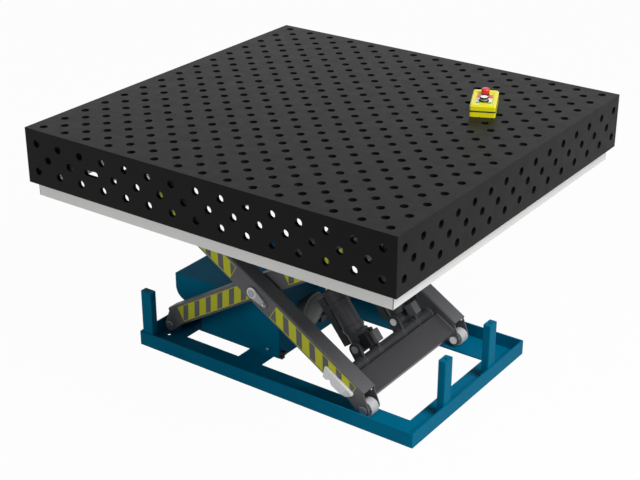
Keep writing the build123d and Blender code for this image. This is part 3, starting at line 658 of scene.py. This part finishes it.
class TableLook(bpy.types.PropertyGroup):
    """Look of the table top and walls."""

    plate: bpy.props.FloatVectorProperty(
        name="Plate colour",
        description="Colour of the oiled plate",
        subtype="COLOR",
        size=3,
        min=0.0,
        max=1.0,
        default=(0.0066, 0.0066, 0.0069),
    )
    plate_roughness: bpy.props.FloatProperty(
        name="Plate roughness",
        description="Roughness of the oiled plate",
        subtype="FACTOR",
        min=0.05,
        max=1.0,
        default=0.40,
    )
    seam: bpy.props.FloatProperty(
        name="Corner seam",
        description="Width of the mitred corner seam of the safety frame",
        unit="LENGTH",
        default=1.6 * MM,
    )


class LiftLook(bpy.types.PropertyGroup):
    """Look of the scissor lift."""

    paint: bpy.props.FloatVectorProperty(
        name="Frame paint",
        description="Colour of the base, platform and pack cover",
        subtype="COLOR",
        size=3,
        min=0.0,
        max=1.0,
        default=linear(0, 104, 137),
    )
    arms: bpy.props.FloatVectorProperty(
        name="Arm paint",
        description="Colour of the arms, torsion tube and levers",
        subtype="COLOR",
        size=3,
        min=0.0,
        max=1.0,
        default=linear(104, 104, 106),
    )
    stripes: bpy.props.FloatVectorProperty(
        name="Stripe colour",
        description="Colour of the stripe film on the arms",
        subtype="COLOR",
        size=3,
        min=0.0,
        max=1.0,
        default=linear(196, 198, 46),
    )
    stripe_pitch: bpy.props.FloatProperty(
        name="Stripe pitch",
        description="Distance from one stripe to the next along the arm",
        unit="LENGTH",
        default=66.5 * MM,
    )
    stripe_width: bpy.props.FloatProperty(
        name="Stripe width",
        description="Width of one stripe along the arm",
        unit="LENGTH",
        default=37.5 * MM,
    )
    panel_height: bpy.props.FloatProperty(
        name="Panel height",
        description="Height of the striped panel on an arm",
        unit="LENGTH",
        default=60 * MM,
    )
    bead: bpy.props.FloatProperty(
        name="Weld bead",
        description="Radius of the weld beads",
        unit="LENGTH",
        default=3 * MM,
    )


class ControlBoxLook(bpy.types.PropertyGroup):
    """Look of the push-button box."""

    shell: bpy.props.FloatVectorProperty(
        name="Shell colour",
        description="Colour of the moulded shell",
        subtype="COLOR",
        size=3,
        min=0.0,
        max=1.0,
        default=linear(224, 218, 14),
    )
    turn: bpy.props.FloatProperty(
        name="Turn",
        description="Turn of the box on the table top",
        unit="ROTATION",
        default=math.radians(25),
    )


class StudioLook(bpy.types.PropertyGroup):
    """Camera, lamps and floor."""

    lens: bpy.props.FloatProperty(
        name="Lens",
        description="Focal length on a 36 mm sensor",
        unit="CAMERA",
        default=77.64,
    )
    azimuth: bpy.props.FloatProperty(
        name="Azimuth",
        description="Camera's direction round the table",
        unit="ROTATION",
        default=math.radians(35.55),
    )
    elevation: bpy.props.FloatProperty(
        name="Elevation",
        description="Camera's height angle",
        unit="ROTATION",
        default=math.radians(25.35),
    )
    key_power: bpy.props.FloatProperty(
        name="Key power",
        description="Power of the key lamp on the right",
        unit="POWER",
        default=265.0,
    )
    fill_power: bpy.props.FloatProperty(
        name="Fill power",
        description="Power of the fill lamp in front",
        unit="POWER",
        default=50.0,
    )
    world_level: bpy.props.FloatProperty(
        name="World level",
        description="Brightness of the plain surroundings",
        default=0.24,
    )


# Pieces


class WELDTABLE_OT_finishes(bpy.types.Operator):
    """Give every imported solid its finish."""

    bl_idname = "weldtable.finishes"
    bl_label = "Finishes of the solids"

    def execute(self, context):
        for name, node in NODES.items():
            node.data.materials.clear()
            node.data.materials.append(finish_of(name))
        return {"FINISHED"}


def clipped(points, low, high):
    """Part of a convex outline between two values of x."""
    for limit, keep in ((low, 1), (high, -1)):
        kept = []
        for start, end in zip(points, points[1:] + points[:1]):
            start_in = keep * (start[0] - limit) >= 0
            end_in = keep * (end[0] - limit) >= 0
            if start_in:
                kept.append(start)
            if start_in != end_in:
                part = (limit - start[0]) / (end[0] - start[0])
                kept.append((limit, start[1] + part * (end[1] - start[1])))
        points = kept
        if len(points) < 3:
            return []
    return points


def striped_panel(bm, place, start, end, lean, look):
    """Outlined panel with upright stripes, between two places along an arm."""
    half = look.panel_height / 2
    line = 2.2 * MM
    film = 0.25 * MM
    lead = 3 * MM
    for x0, x1, y0, y1 in (
        (start, end, -half, line - half),
        (start, end, half - line, half),
        (start, start + line, line - half, half - line),
        (end - line, end, line - half, half - line),
    ):
        prism(bm, [(x0, y0), (x1, y0), (x1, y1), (x0, y1)], place, 0, film)
    shift = lean * look.panel_height * math.tan(TILT)
    count = int((end - start) / look.stripe_pitch) + 3
    for i in range(-1, count):
        left = start - lead + i * look.stripe_pitch
        right = left + look.stripe_width
        outline = [
            (left + shift, line - half),
            (right + shift, line - half),
            (right, half - line),
            (left, half - line),
        ]
        outline = clipped(outline, start + line, end - line)
        if outline:
            prism(bm, outline, place, 0, film)


class WELDTABLE_OT_arm_stripes(bpy.types.Operator):
    """Add the striped panels to the faces of the arms."""

    bl_idname = "weldtable.arm_stripes"
    bl_label = "Arm stripes"

    def execute(self, context):
        look = context.scene.lift_look
        for body, place, lean in (("outer_arms", outer_frame(), 1), ("inner_arms", inner_frame(), -1)):
            for half, name in ((-1, "left"), (1, "right")):
                bm = bmesh.new()
                start, end = sorted((half * PANEL_START, half * PANEL_ENDS[body]))
                striped_panel(bm, place, start, end, lean, look)
                copy_to_back(bm)
                piece(f"stripes_{body}_{name}", bm, stripe_yellow(), body)
        return {"FINISHED"}


def lug_seams(bm, sides, height, bead):
    """Beads along the hinge lugs at the given sides and height."""
    for side in sides:
        line_bead(bm, Vector((LUG_LOW.x, side, height)), Vector((LUG_HIGH.x, side, height)), bead)


class WELDTABLE_OT_weld_beads(bpy.types.Operator):
    """Add weld beads where tubes and lugs meet the arms, base and platform."""

    bl_idname = "weldtable.weld_beads"
    bl_label = "Weld beads"

    def execute(self, context):
        bead = context.scene.lift_look.bead
        sunk = BEAD_SINK * bead
        ties = bmesh.new()
        for spot, radius in ((TIE_SPOT, TIE_RADIUS), (TORSION_SPOT, TORSION_RADIUS)):
            place = inner_frame(-INNER_HIGH.y) @ Matrix.Translation((*spot, -sunk))
            ring_bead(ties, place, radius + sunk, bead)
        for side in LEVER_SIDES:
            place = inner_frame(side) @ Matrix.Translation((*TORSION_SPOT, 0))
            ring_bead(ties, place, TORSION_RADIUS + sunk, 0.8 * bead)
        copy_to_back(ties)
        piece("welds_inner_arms", ties, graphite_paint(), "inner_arms")

        cross = bmesh.new()
        arm_side = outer_frame(-OUTER_HIGH.y)
        ring_bead(cross, arm_side @ Matrix.Translation((*CROSS_SPOT, -sunk)), CROSS_RADIUS + sunk, bead)
        for seam in CROSS_SEAMS:
            start, end = (arm_side @ Vector((*spot, -sunk)) for spot in seam)
            line_bead(cross, start, end, bead)
        for side in BRACKET_SIDES:
            place = outer_frame(side) @ Matrix.Translation((*CROSS_SPOT, 0))
            ring_bead(cross, place, CROSS_RADIUS + 0.2 * bead, 0.7 * bead)
        copy_to_back(cross)
        piece("welds_outer_arms", cross, graphite_paint(), "outer_arms")

        base = bmesh.new()
        top = LUG_LOW.z + sunk
        lug_seams(base, BASE_LUG_SIDES, top, bead)
        for end, seams in ((POST_HIGH.x, RIGHT_POST_SEAMS), (POST_LOW.x, LEFT_POST_SEAMS)):
            for (x0, y0), (x1, y1) in seams:
                line_bead(base, Vector((end + x0, y0, top)), Vector((end + x1, y1, top)), bead)
        copy_to_back(base)
        piece("welds_base", base, teal_paint(), "base")

        platform = bmesh.new()
        lug_seams(platform, PLATFORM_LUG_SIDES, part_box("platform_lugs")[1].z - sunk, bead)
        copy_to_back(platform)
        piece("welds_platform", platform, teal_paint(), "table")
        return {"FINISHED"}


class WELDTABLE_OT_pivot_fittings(bpy.types.Operator):
    """Add retaining rings, keeper rims, grease nipples and roller marks."""

    bl_idname = "weldtable.pivot_fittings"
    bl_label = "Pivot fittings"

    def execute(self, context):
        for name, body, place, side, radius in (
            ("rings_lower_rollers", "outer_arms", LOWER_ROLLER, OUTER_FACE, 12),
            ("rings_upper_rollers", "inner_arms", UPPER_ROLLER, INNER_FACE, 12),
            ("rings_lower_hinges", "inner_arms", HINGE, INNER_FACE, 14),
            ("rings_upper_hinges", "outer_arms", UPPER_HINGE, OUTER_FACE, 14),
        ):
            bm = bmesh.new()
            at = side_frame(place, LEVEL, side)
            outer = radius + 4
            turned(bm, mm((outer, 0), (outer, 1.2), (outer - 0.4, 1.6), (radius, 1.6)), at)
            for across in (-3.2, 3.2):
                ear = rounded(*mm(4, 5, 1), mm(across, outer + 1.5))
                prism(bm, ear, at @ rotation(60, "Z"), 0, 1.5 * MM)
            copy_to_back(bm)
            piece(name, bm, zinc_steel(), body)

        rims = bmesh.new()
        at = outer_frame(OUTER_FACE + KEEPER_THICKNESS)
        turned(rims, mm((20, -0.5), (20, 1.6), (18, 2.6), (15, 2.6), (14, 0.4)), at)
        screw = at @ Matrix.Translation(mm(60, 0, 4))
        turned(rims, mm((3.6, -0.5), (3.6, 0.6), (2.4, 1.4)), screw, 20)
        copy_to_back(rims)
        piece("keeper_rims", rims, zinc_steel(), "outer_arms")

        nipples = bmesh.new()
        for along in (-540, 540):
            at = outer_frame(LOWER_FORK_SIDE) @ Matrix.Translation(mm(along, 41, 0)) @ rotation(-90, "X")
            turned(nipples, mm((3.4, -2), (3.4, 2), (2, 3), (2.6, 5), (1, 6.5)), at, 16)
        copy_to_back(nipples)
        piece("grease_nipples", nipples, zinc_steel(), "outer_arms")

        for level, place, depth in (
            ("lower", LOWER_ROLLER, LOWER_FORK_SIDE),
            ("upper", UPPER_ROLLER, UPPER_FORK_SIDE),
        ):
            for side, name in ((1, "front"), (-1, "back")):
                bm = bmesh.new()
                for face in (-1, 1):
                    at = side_frame(place, LEVEL, side * (depth + face * ROLLER_HALF_WIDTH))
                    for step in range(5):
                        turn = math.radians(72 * step)
                        mark = disc(2 * MM, mm(21 * math.cos(turn), 21 * math.sin(turn)), 12)
                        prism(bm, mark, at, -0.4 * MM, 0.4 * MM)
                piece(f"{level}_roller_marks_{name}", bm, black_moulding(), f"{level}_roller_{name}")
        return {"FINISHED"}


class WELDTABLE_OT_cylinder_fittings(bpy.types.Operator):
    """Add rod wipers, port nuts, valve blocks and coils to the cylinders."""

    bl_idname = "weldtable.cylinder_fittings"
    bl_label = "Cylinder fittings"

    def execute(self, context):
        slide = Vector(JOINTS["rod_front_slide"]["axis"])
        for side, name in ((1, "front"), (-1, "back")):
            body = f"cylinder_{name}"
            at = side_frame(FOOT, slide, side * CYLINDER_SIDE)
            wiper = bmesh.new()
            gland = at @ rotation(90, "Y") @ Matrix.Translation(mm(0, 0, 228))
            turned(wiper, mm((27, 0), (27, 4), (22.5, 6), (20.6, 6)), gland)
            piece(f"rod_wiper_{name}", wiper, black_moulding(), body)

            port = bmesh.new()
            stub = at @ Matrix.Translation(mm(40, -87, side * 23)) @ rotation(90, "X")
            turned(port, mm((6, -4), (7.5, 0), (7.5, 6), (6, 7)), stub, 24)
            piece(f"port_nut_{name}", port, black_moulding(), body)

            block = bmesh.new()
            low = at @ Matrix.Translation(mm(0, 0, -17))
            prism(block, rounded(*mm(46, 36, 2), mm(8, -66)), low, 0, 34 * MM)
            piece(f"valve_block_{name}", block, graphite_paint(), body, 0.8 * MM)

            coil = bmesh.new()
            near, away = sorted((17 + side * 8, 17 + side * 41))
            prism(coil, rounded(*mm(54, 37, 3), mm(13, -50)), low, near * MM, away * MM)
            piece(f"valve_coil_{name}", coil, black_moulding(), body, 0.8 * MM)
        return {"FINISHED"}


class WELDTABLE_OT_pack_fittings(bpy.types.Operator):
    """Add screws, cable plugs and motor cap to the power pack."""

    bl_idname = "weldtable.pack_fittings"
    bl_label = "Power pack fittings"

    def execute(self, context):
        screws = bmesh.new()
        at = side_frame(Vector(mm(-158, 0, 32.5)), LEVEL, -COVER_LOW.y)
        turned(screws, mm((6, 0), (6, 1), (4.5, 3), (1.6, 3.6)), at, 24)
        copy_to_back(screws)
        piece("pack_cover_screws", screws, zinc_steel(), "base")

        plugs = bmesh.new()
        end_wall = COVER_HIGH.x - COVER_LIP
        # Each plug's reach out of the end wall, and its lowest and highest point, in millimetres
        for reach, low, high in ((21, 28, 40), (12, 9, 19)):
            middle = (end_wall + (reach / 2 - 1) * MM, -177 * MM)
            outline = rounded(*mm(reach + 2, 18, 1.5), middle)
            prism(plugs, outline, Matrix.Identity(4), low * MM, high * MM)
        piece("pack_plugs", plugs, black_moulding(), "base", 0.5 * MM)

        cap = bmesh.new()
        low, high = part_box("pump_motor")
        axis = Vector((high.x, (low.y + high.y) / 2, high.z - 68 * MM))
        at = Matrix.Translation(axis) @ rotation(90, "Y")
        turned(cap, mm((52, -1), (52, 1.5), (48, 3), (14, 4)), at, 48)
        for step in range(4):
            turn = math.radians(45 + 90 * step)
            bolt = at @ Matrix.Translation(mm(59 * math.cos(turn), 59 * math.sin(turn), 0))
            turned(cap, mm((4, -1), (4, 2), (3, 3)), bolt, 12)
        piece("motor_end_cap", cap, motor_paint(), "base")
        return {"FINISHED"}


class WELDTABLE_OT_frame_seams(bpy.types.Operator):
    """Add the mitred corner seams of the safety frame."""

    bl_idname = "weldtable.frame_seams"
    bl_label = "Safety frame seams"

    def execute(self, context):
        seam = context.scene.table_look.seam
        proud = 0.15 * MM
        margin = 0.5 * MM
        bm = bmesh.new()
        for x, sx in ((SKIRT_LOW.x, -1), (SKIRT_HIGH.x, 1)):
            for y, sy in ((SKIRT_LOW.y, -1), (SKIRT_HIGH.y, 1)):
                outline = [
                    (x + sx * proud, y + sy * proud),
                    (x - sx * seam, y + sy * proud),
                    (x - sx * seam, y - sy * seam),
                    (x + sx * proud, y - sy * seam),
                ]
                prism(bm, outline, Matrix.Identity(4), SKIRT_LOW.z + margin, SKIRT_HIGH.z - margin)
        piece("safety_frame_seams", bm, black_moulding(), "safety_frame")
        return {"FINISHED"}


# Turned parts of the control box: name, finish, body, place along the box, profile above the
# lid, and steps round. Sizes are in millimetres.
START_BUTTON = -29
STOP_BUTTON = 40
BOX_TURNED_PARTS = (
    (
        "start_button_rim",
        black_moulding,
        "control_box",
        START_BUTTON,
        ((17.8, 0), (17.8, 3.4), (16, 5), (13.8, 5), (13.8, 0.2)),
        48,
    ),
    (
        "start_button_sleeve",
        pad_grey,
        "start_button",
        START_BUTTON,
        ((13.2, 6), (13.2, 12), (12, 12.5)),
        48,
    ),
    (
        "start_button_band",
        black_moulding,
        "start_button",
        START_BUTTON,
        ((15, 11.5), (15.6, 12.5), (15.6, 15), (14.6, 16), (13.4, 16), (13.4, 15)),
        48,
    ),
    (
        "start_button_cap",
        button_white,
        "start_button",
        START_BUTTON,
        ((13.4, 14.5), (13.4, 16), (12.4, 17), (8, 17.4)),
        48,
    ),
    (
        "stop_button_cap",
        button_red,
        "stop_button",
        STOP_BUTTON,
        ((13.5, 6), (14.4, 6.8), (14.4, 18.5), (13.6, 21), (11.6, 22.8), (8, 23.6), (3, 23.9)),
        48,
    ),
    (
        "stop_button_collar",
        black_moulding,
        "control_box",
        STOP_BUTTON,
        ((15, 0), (15, 1), (11, 1.4), (8.4, 1.4), (8.4, 0.1)),
        40,
    ),
)

# Pads on the lid: name, finish, and each pad's middle, width and depth in millimetres
BOX_PADS = (
    ("pads_white", button_white, ((-20, -20, 15, 36), (20, -20, 15, 36))),
    ("pads_red", button_red, ((-20, 19, 15, 34), (20, 19, 15, 34))),
    ("pad_grey", pad_grey, ((-20, -49, 14, 14),)),
    ("pad_green", pad_green, ((20, -49, 14, 14),)),
)


class WELDTABLE_OT_control_fittings(bpy.types.Operator):
    """Add the border, gasket, buttons, pads and screws of the push-button box."""

    bl_idname = "weldtable.control_fittings"
    bl_label = "Control box fittings"

    def execute(self, context):
        place = box_frame()
        lid = place @ Matrix.Translation((0, 0, BOX_HEIGHT))
        border = bmesh.new()
        rim = (rounded(*mm(84, 164, 5)), rounded(*mm(62, 122, 5)))
        framed(border, *rim, lid, -0.5 * MM, BORDER_HEIGHT)
        piece("control_border", border, box_yellow(), "control_box", 1.2 * MM)

        gasket = bmesh.new()
        seam = (rounded(*mm(90.8, 170.8, 6.4)), rounded(*mm(83, 163, 4)))
        framed(gasket, *seam, place, 17.4 * MM, 22.6 * MM)
        piece("control_gasket", gasket, gasket_rubber(), "control_box")

        for name, material, body, along, profile, steps in BOX_TURNED_PARTS:
            bm = bmesh.new()
            turned(bm, mm(*profile), lid @ Matrix.Translation(mm(0, along, 0)), steps)
            piece(name, bm, material(), body)

        for name, material, pads in BOX_PADS:
            bm = bmesh.new()
            for x, y, width, depth in pads:
                prism(bm, rounded(*mm(width, depth, 2), mm(x, y)), lid, 0, 1.2 * MM)
            piece(name, bm, material(), "control_box", 0.3 * MM)

        screws = bmesh.new()
        for x in (-37, 37):
            for y in (-76, 76):
                at = lid @ Matrix.Translation((*mm(x, y), BORDER_HEIGHT))
                turned(screws, mm((3.2, -0.5), (3.2, 0.5), (2.2, 1.1)), at, 20)
        piece("control_screws", screws, zinc_steel(), "control_box")
        return {"FINISHED"}


# Studio: the camera's place, the floor, and each lamp's place, target and size, in metres
CAMERA_PLACE = Vector((2.61624, -3.72928, 2.61372))
FLOOR_SIZE = 18.0
FLOOR_GLOW = 0.97
KEY_LAMP = ((3.6, -0.4, 4.2), (0, 0, 0.5), 2.6)
FILL_LAMP = ((-1.4, -4.6, 2.2), (0, 0, 0.4), 3.0)


def seen_directly(tree):
    """1 where the camera sees the surroundings itself, in gloss or through glass, otherwise 0."""
    paths = tree.nodes.new("ShaderNodeLightPath").outputs
    seen = paths["Is Camera Ray"]
    for label in ("Is Glossy Ray", "Is Transmission Ray"):
        seen = math_node(tree, "MAXIMUM", seen, paths[label])
    return seen


def floor_material():
    """Plain pale floor that stays white to the camera and keeps its shadows."""
    material = bpy.data.materials.new("Plain pale floor")
    material.use_nodes = True
    tree = material.node_tree
    shader = tree.nodes["Principled BSDF"]
    shader.inputs["Base Color"].default_value = (0.55, 0.55, 0.55, 1.0)
    shader.inputs["Roughness"].default_value = 0.9
    glow = tree.nodes.new("ShaderNodeEmission")
    glow.inputs["Strength"].default_value = 1.0
    mix = tree.nodes.new("ShaderNodeMixShader")
    feed(tree, mix.inputs["Fac"], math_node(tree, "MULTIPLY", seen_directly(tree), FLOOR_GLOW))
    feed(tree, mix.inputs[1], shader.outputs["BSDF"])
    feed(tree, mix.inputs[2], glow.outputs["Emission"])
    feed(tree, tree.nodes["Material Output"].inputs["Surface"], mix.outputs["Shader"])
    return material


def add_lamp(name, place, target, size, power):
    """Square area lamp at a place, aimed at a target."""
    data = bpy.data.lights.new(name, "AREA")
    data.size = size
    data.energy = power
    lamp = bpy.data.objects.new(name, data)
    bpy.context.scene.collection.objects.link(lamp)
    lamp.location = place
    lamp.rotation_euler = (Vector(target) - Vector(place)).to_track_quat("-Z", "Y").to_euler()


class WELDTABLE_OT_studio(bpy.types.Operator):
    """Set the floor, lamps, surroundings and camera."""

    bl_idname = "weldtable.studio"
    bl_label = "Studio"

    def execute(self, context):
        scene = context.scene
        look = scene.studio_look
        scene.view_settings.view_transform = "Standard"

        bm = bmesh.new()
        half = FLOOR_SIZE / 2
        corners = ((-half, -half), (half, -half), (half, half), (-half, half))
        bm.faces.new([bm.verts.new((x, y, 0)) for x, y in corners])
        mesh = bpy.data.meshes.new("studio_floor")
        bm.to_mesh(mesh)
        bm.free()
        floor = bpy.data.objects.new("studio_floor", mesh)
        scene.collection.objects.link(floor)
        mesh.materials.append(floor_material())

        world = bpy.data.worlds.new("Plain surroundings")
        world.use_nodes = True
        scene.world = world
        tree = world.node_tree
        background = tree.nodes["Background"]
        background.inputs["Color"].default_value = (1.0, 1.0, 1.0, 1.0)
        level = map_range(tree, seen_directly(tree), 0.0, 1.0, look.world_level, 1.0)
        feed(tree, background.inputs["Strength"], level)

        add_lamp("key_lamp", *KEY_LAMP, look.key_power)
        add_lamp("fill_lamp", *FILL_LAMP, look.fill_power)

        camera_data = bpy.data.cameras.new("photo_camera")
        camera_data.sensor_width = 36.0
        camera_data.lens = look.lens
        camera_data.clip_end = 60.0
        camera = bpy.data.objects.new("photo_camera", camera_data)
        scene.collection.objects.link(camera)
        turn = Matrix.Rotation(look.azimuth, 4, "Z")
        nod = Matrix.Rotation(math.radians(90) - look.elevation, 4, "X")
        camera.matrix_world = Matrix.Translation(CAMERA_PLACE) @ turn @ nod
        scene.camera = camera
        return {"FINISHED"}


# Panel, registration and run

OPERATORS = (
    WELDTABLE_OT_finishes,
    WELDTABLE_OT_arm_stripes,
    WELDTABLE_OT_weld_beads,
    WELDTABLE_OT_pivot_fittings,
    WELDTABLE_OT_cylinder_fittings,
    WELDTABLE_OT_pack_fittings,
    WELDTABLE_OT_frame_seams,
    WELDTABLE_OT_control_fittings,
    WELDTABLE_OT_studio,
)
LOOKS = {
    "table_look": TableLook,
    "lift_look": LiftLook,
    "control_box_look": ControlBoxLook,
    "studio_look": StudioLook,
}


class WELDTABLE_PT_panel(bpy.types.Panel):
    """List the steps that dress the table."""

    bl_label = "Welding Table"
    bl_idname = "WELDTABLE_PT_panel"
    bl_space_type = "VIEW_3D"
    bl_region_type = "UI"
    bl_category = "Welding Table"

    def draw(self, context):
        layout = self.layout
        for operator in OPERATORS:
            layout.operator(operator.bl_idname)
        for name, group in LOOKS.items():
            box = layout.box()
            box.label(text=name.replace("_", " ").capitalize())
            for label in group.__annotations__:
                box.prop(getattr(context.scene, name), label)


def register():
    """Register the looks, operators and panel."""
    for name, group in LOOKS.items():
        bpy.utils.register_class(group)
        setattr(bpy.types.Scene, name, bpy.props.PointerProperty(type=group))
    for made in (*OPERATORS, WELDTABLE_PT_panel):
        bpy.utils.register_class(made)


def unregister():
    """Undo register."""
    for made in reversed((*OPERATORS, WELDTABLE_PT_panel)):
        bpy.utils.unregister_class(made)
    for name, group in LOOKS.items():
        delattr(bpy.types.Scene, name)
        bpy.utils.unregister_class(group)


def main():
    """Dress the table."""
    register()
    for operator in OPERATORS:
        group, step = operator.bl_idname.split(".")
        getattr(getattr(bpy.ops, group), step)()


if __name__ == "__main__":
    main()
